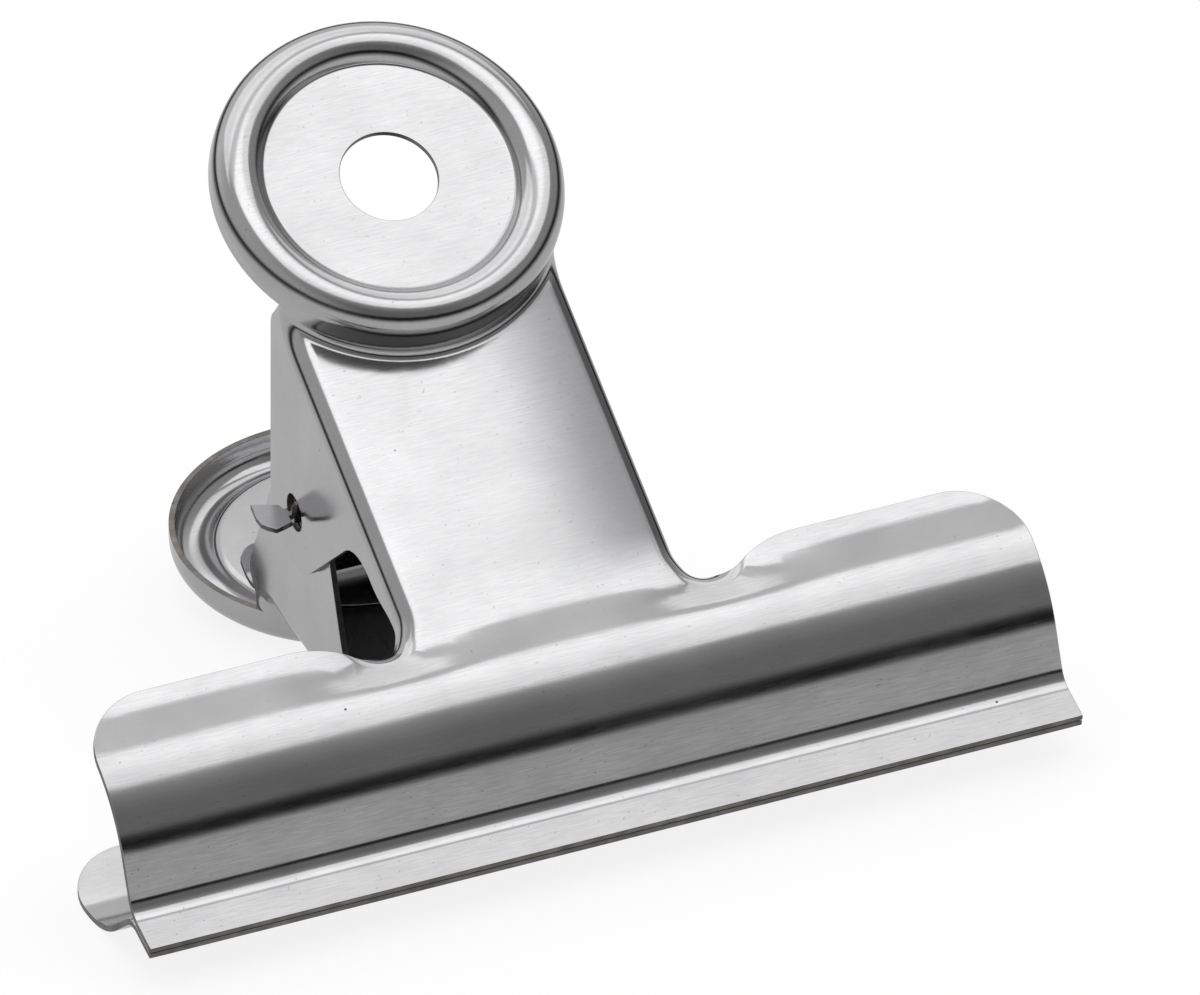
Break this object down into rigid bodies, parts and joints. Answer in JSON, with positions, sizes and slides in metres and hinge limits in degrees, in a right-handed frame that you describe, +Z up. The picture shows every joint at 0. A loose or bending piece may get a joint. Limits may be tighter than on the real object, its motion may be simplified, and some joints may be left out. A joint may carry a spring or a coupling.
{
  "type": "bulldog clip",
  "caption": "Round-headed bulldog clip: wide sheet-steel jaws on folded necks, thumb discs with hanging holes, and a leaf spring at the hinge.",
  "frame": {"origin": "middle of the length and depth of the clip, on the table it lies on", "axes": "+X along the jaws and the hinge, +Y from the jaws towards the thumb discs, +Z up; the clip lies on its rear arm with the jaws shut"},
  "size_m": [0.076, 0.0684, 0.0493],
  "materials": {
    "front_plate": "nickel plated sheet steel, rolled and stamped, satin bright",
    "rear_plate": "nickel plated sheet steel, rolled and stamped, satin bright",
    "spring_steel": "hardened strip steel, plated"
  },
  "bodies": {
    "rear": {"rear_arm": "rear_plate", "leaf_spring": "spring_steel"},
    "front": {"front_arm": "front_plate"}
  },
  "joints": [
    {"name": "jaw_hinge", "type": "hinge", "parent": "rear", "child": "front", "pos_m": [0, 0.00121, 0.01722], "axis": [-1, 0, 0], "range_deg": [0, 78], "stiffness_Nm_per_rad": 0.3, "springref_deg": -34.38, "deforming": ["leaf_spring"]}
  ]
}
